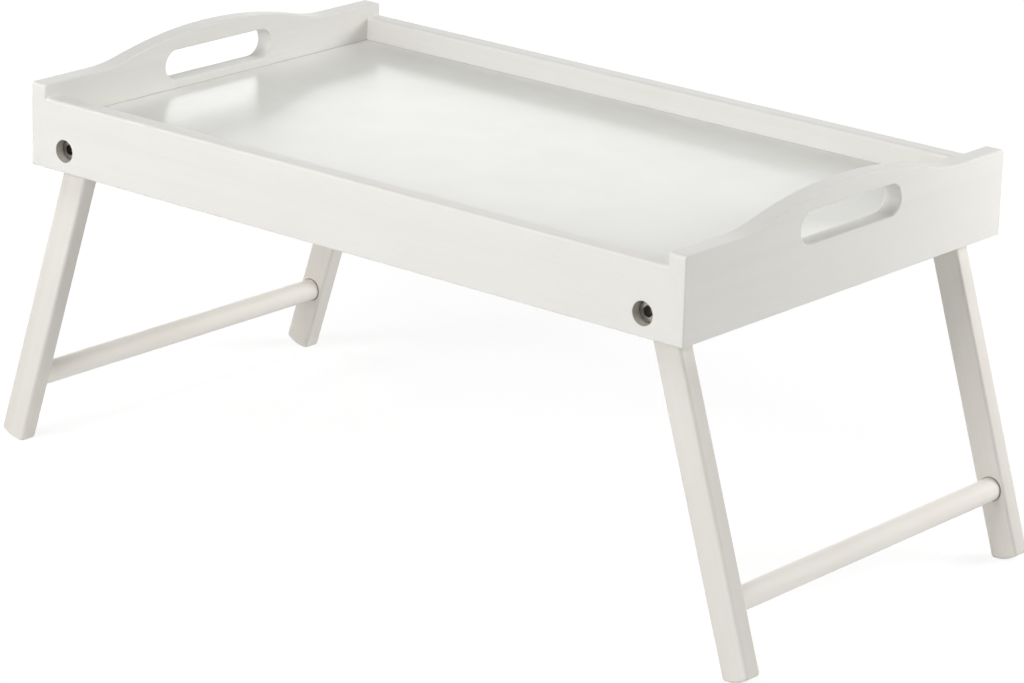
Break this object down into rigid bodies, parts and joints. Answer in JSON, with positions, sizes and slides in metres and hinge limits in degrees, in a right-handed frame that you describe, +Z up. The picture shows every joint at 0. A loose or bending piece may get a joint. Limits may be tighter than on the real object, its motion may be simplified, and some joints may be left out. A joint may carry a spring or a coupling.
{
  "type": "folding bed tray table",
  "caption": "Rimmed wooden tray with arched, slotted end boards on two splayed U-shaped leg frames that fold flat beneath it on shoulder bolts.",
  "frame": {"origin": "on the floor, below the middle of the tray", "axes": "+X along the tray's length to the right, +Y from the front rail to the back rail, +Z up; the legs stand splayed"},
  "size_m": [0.5862, 0.3, 0.2531],
  "materials": {
    "painted_rim": "satin off-white paint over wood",
    "painted_panel": "smooth satin off-white paint over board",
    "painted_leg": "satin off-white paint over wood",
    "painted_rung": "thin satin off-white paint over turned wood",
    "bare_beech": "bare wood, glued in",
    "nickel_bolt": "nickel-plated steel",
    "brass_insert": "turned brass",
    "nylon_washer": "white nylon"
  },
  "bodies": {
    "tray": {"front_rail": "painted_rim", "back_rail": "painted_rim", "left_end_board": "painted_rim", "right_end_board": "painted_rim", "tray_panel": "painted_panel", "corner_dowels_front_left": "bare_beech", "corner_dowels_front_right": "bare_beech", "corner_dowels_back_left": "bare_beech", "corner_dowels_back_right": "bare_beech"},
    "left_leg_frame": {"left_front_leg": "painted_leg", "left_back_leg": "painted_leg", "left_rung": "painted_rung", "left_front_pivot_bolt": "nickel_bolt", "left_back_pivot_bolt": "nickel_bolt", "left_front_threaded_insert": "brass_insert", "left_back_threaded_insert": "brass_insert", "left_front_washer": "nylon_washer", "left_back_washer": "nylon_washer"},
    "right_leg_frame": {"right_front_leg": "painted_leg", "right_back_leg": "painted_leg", "right_rung": "painted_rung", "right_front_pivot_bolt": "nickel_bolt", "right_back_pivot_bolt": "nickel_bolt", "right_front_threaded_insert": "brass_insert", "right_back_threaded_insert": "brass_insert", "right_front_washer": "nylon_washer", "right_back_washer": "nylon_washer"}
  },
  "joints": [
    {"name": "left_leg_frame_hinge", "type": "hinge", "parent": "tray", "child": "left_leg_frame", "pos_m": [-0.22198, 0, 0.20185], "axis": [0, -1, 0], "range_deg": [0, 107.5]},
    {"name": "right_leg_frame_hinge", "type": "hinge", "parent": "tray", "child": "right_leg_frame", "pos_m": [0.22198, 0, 0.20185], "axis": [0, 1, 0], "range_deg": [0, 107.5]}
  ]
}
